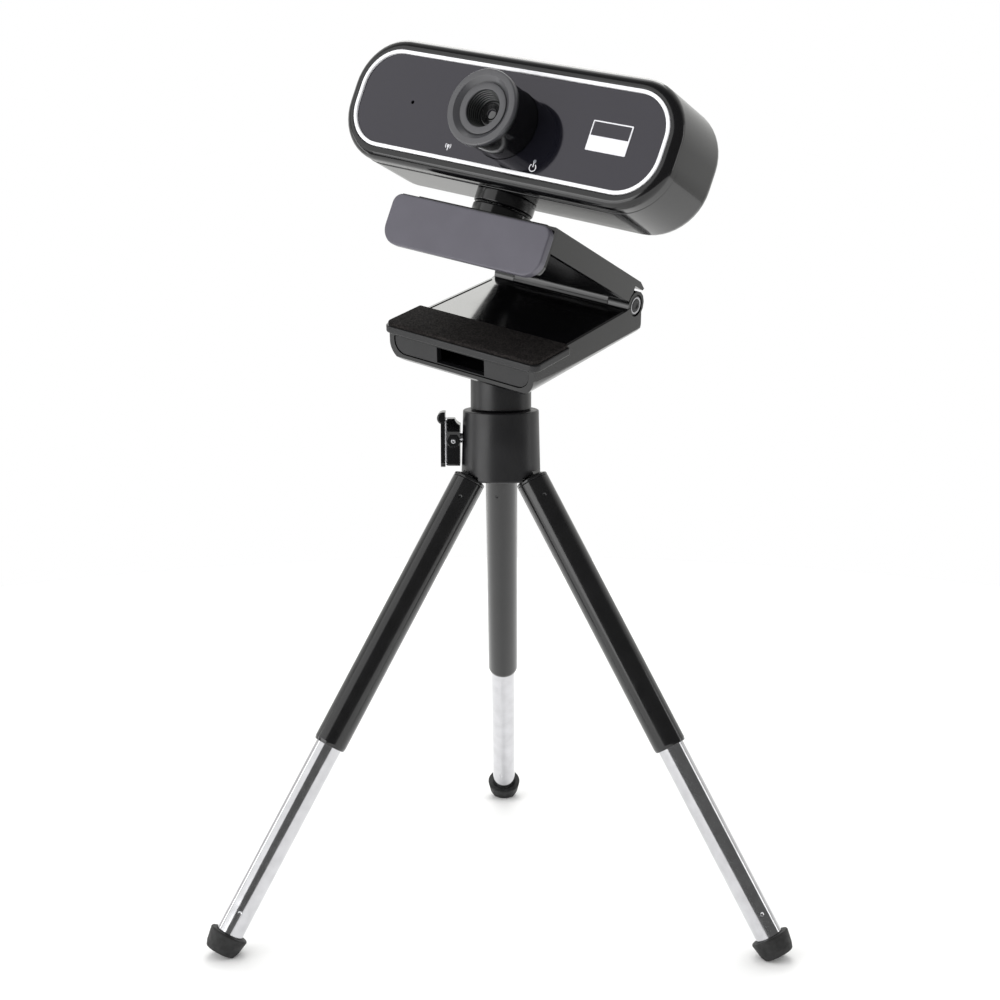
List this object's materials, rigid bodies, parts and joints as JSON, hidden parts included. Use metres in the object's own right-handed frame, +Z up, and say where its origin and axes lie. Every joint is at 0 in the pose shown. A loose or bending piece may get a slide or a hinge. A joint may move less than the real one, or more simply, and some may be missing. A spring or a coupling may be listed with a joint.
{
  "type": "webcam on mini tripod",
  "caption": "Wide clip-on webcam with a focus barrel and padded clamp, its clip open, on a ball-head table tripod with telescopic legs.",
  "frame": {"origin": "on the table top, under the middle of the bounding box", "axes": "+Z up; the lens looks along -Y, tipped up; +X to the right of someone facing the lens"},
  "size_m": [0.1254, 0.1378, 0.2137],
  "materials": {
    "gloss_black_case": "polished black moulded case",
    "satin_black_plastic": "fine-textured black moulding",
    "violet_grey_lip": "satin violet-grey lacquer",
    "front_panel_grey": "dark violet-grey front film, slight sheen",
    "white_trim": "glossy white inlay",
    "black_leg_paint": "glossy black enamel on steel tube",
    "polished_tube": "polished, drawn along its length",
    "plated_steel": "nickel-plated screws and pins",
    "brass_thread": "turned",
    "black_rubber": "matt moulded rubber",
    "foam_pad": "open textured foam sheet",
    "natural_nylon": "natural moulded nylon",
    "circuit_board": "green solder mask",
    "lens_glass": "coated optical glass",
    "plain_badge": "pale printed label, left blank",
    "light_pipe_clear": "clear acrylic"
  },
  "bodies": {
    "hub": {"hub_shell": "satin_black_plastic", "leg_spider": "satin_black_plastic", "spider_screw": "plated_steel", "leg_pin_rear": "plated_steel", "leg_pin_left": "plated_steel", "leg_pin_right": "plated_steel"},
    "leg_rear": {"leg_knuckle_rear": "satin_black_plastic", "leg_tube_rear": "black_leg_paint", "leg_bush_rear": "natural_nylon"},
    "slider_rear": {"leg_slider_rear": "polished_tube", "foot_rear": "black_rubber"},
    "leg_left": {"leg_knuckle_left": "satin_black_plastic", "leg_tube_left": "black_leg_paint", "leg_bush_left": "natural_nylon"},
    "slider_left": {"leg_slider_left": "polished_tube", "foot_left": "black_rubber"},
    "leg_right": {"leg_knuckle_right": "satin_black_plastic", "leg_tube_right": "black_leg_paint", "leg_bush_right": "natural_nylon"},
    "slider_right": {"leg_slider_right": "polished_tube", "foot_right": "black_rubber"},
    "neck": {"neck_post": "satin_black_plastic", "ball_seat": "natural_nylon"},
    "clamp": {"clamp_screw": "plated_steel", "knob_body": "gloss_black_case", "knob_plate": "plated_steel", "knob_wing": "gloss_black_case"},
    "ball": {"ball_stud": "plated_steel"},
    "jaw": {"jaw_shell": "gloss_black_case", "jaw_cover": "satin_black_plastic", "thread_insert": "brass_thread", "pad_carrier": "satin_black_plastic", "foam_pad": "foam_pad", "hinge_pin": "plated_steel", "hinge_nut": "plated_steel"},
    "arm": {"clip_arm": "gloss_black_case", "lip_cover": "violet_grey_lip", "arm_lid": "satin_black_plastic", "lower_collar": "gloss_black_case", "swivel_washer": "plated_steel"},
    "focus": {"focus_ring": "satin_black_plastic", "lens_tube": "satin_black_plastic", "front_glass": "lens_glass"},
    "head": {"upper_collar": "gloss_black_case", "swivel_bolt": "plated_steel", "swivel_nut": "plated_steel", "rear_housing": "gloss_black_case", "housing_screw_1": "plated_steel", "housing_screw_2": "plated_steel", "cable_gland": "black_rubber", "front_bezel": "gloss_black_case", "trim_ring": "white_trim", "front_panel": "front_panel_grey", "badge_plate": "plain_badge", "lens_barrel": "gloss_black_case", "lens_holder": "satin_black_plastic", "image_sensor": "lens_glass", "main_board": "circuit_board", "microphone": "plated_steel", "light_pipe": "light_pipe_clear"}
  },
  "joints": [
    {"name": "leg_fold_rear", "type": "hinge", "parent": "hub", "child": "leg_rear", "pos_m": [-0.01982, 0.00823, 0.11235], "axis": [0.8251, 0.565, 0], "range_deg": [-32, 0]},
    {"name": "leg_slide_rear", "type": "slide", "parent": "leg_rear", "child": "slider_rear", "axis": [-0.2994, 0.4372, -0.848], "range_m": [-0.046, 0]},
    {"name": "leg_fold_left", "type": "hinge", "parent": "hub", "child": "leg_left", "pos_m": [-0.01896, -0.003, 0.11235], "axis": [-0.9018, 0.4321, 0], "range_deg": [-32, 0]},
    {"name": "leg_slide_left", "type": "slide", "parent": "leg_left", "child": "slider_left", "axis": [-0.229, -0.4779, -0.848], "range_m": [-0.046, 0]},
    {"name": "leg_fold_right", "type": "hinge", "parent": "hub", "child": "leg_right", "pos_m": [-0.00967, 0.00336, 0.11235], "axis": [0.0767, -0.9971, 0], "range_deg": [-32, 0]},
    {"name": "leg_slide_right", "type": "slide", "parent": "leg_right", "child": "slider_right", "axis": [0.5284, 0.0407, -0.848], "range_m": [-0.046, 0]},
    {"name": "neck_pan", "type": "hinge", "parent": "hub", "child": "neck", "pos_m": [-0.01615, 0.00286, 0.12], "axis": [0, 0, 1], "continuous": true},
    {"name": "clamp_turn", "type": "hinge", "parent": "hub", "child": "clamp", "pos_m": [-0.02605, -0.00392, 0.1184], "axis": [-0.8251, -0.565, 0], "range_deg": [-90, 180]},
    {"name": "ball_tilt", "type": "hinge", "parent": "neck", "child": "ball", "pos_m": [-0.01615, 0.00286, 0.1334], "axis": [0.8343, 0.5514, 0], "range_deg": [-43, 6]},
    {"name": "camera_screw", "type": "hinge", "parent": "ball", "child": "jaw", "pos_m": [-0.01615, 0.00286, 0.1334], "axis": [0.1711, -0.2588, 0.9507], "range_deg": [-180, 180]},
    {"name": "clip_hinge", "type": "hinge", "parent": "jaw", "child": "arm", "pos_m": [-0.01244, 0.02687, 0.15399], "axis": [0.9842, 0, -0.1771], "range_deg": [-80, 29]},
    {"name": "head_pan", "type": "hinge", "parent": "arm", "child": "head", "pos_m": [-0.00838, -0.00573, 0.17656], "axis": [0.1688, 0.3024, 0.9381], "range_deg": [-170, 170]},
    {"name": "focus_turn", "type": "hinge", "parent": "head", "child": "focus", "pos_m": [-0.00438, -0.01099, 0.19257], "axis": [0.0535, -0.9532, 0.2976], "range_deg": [-135, 135]}
  ]
}
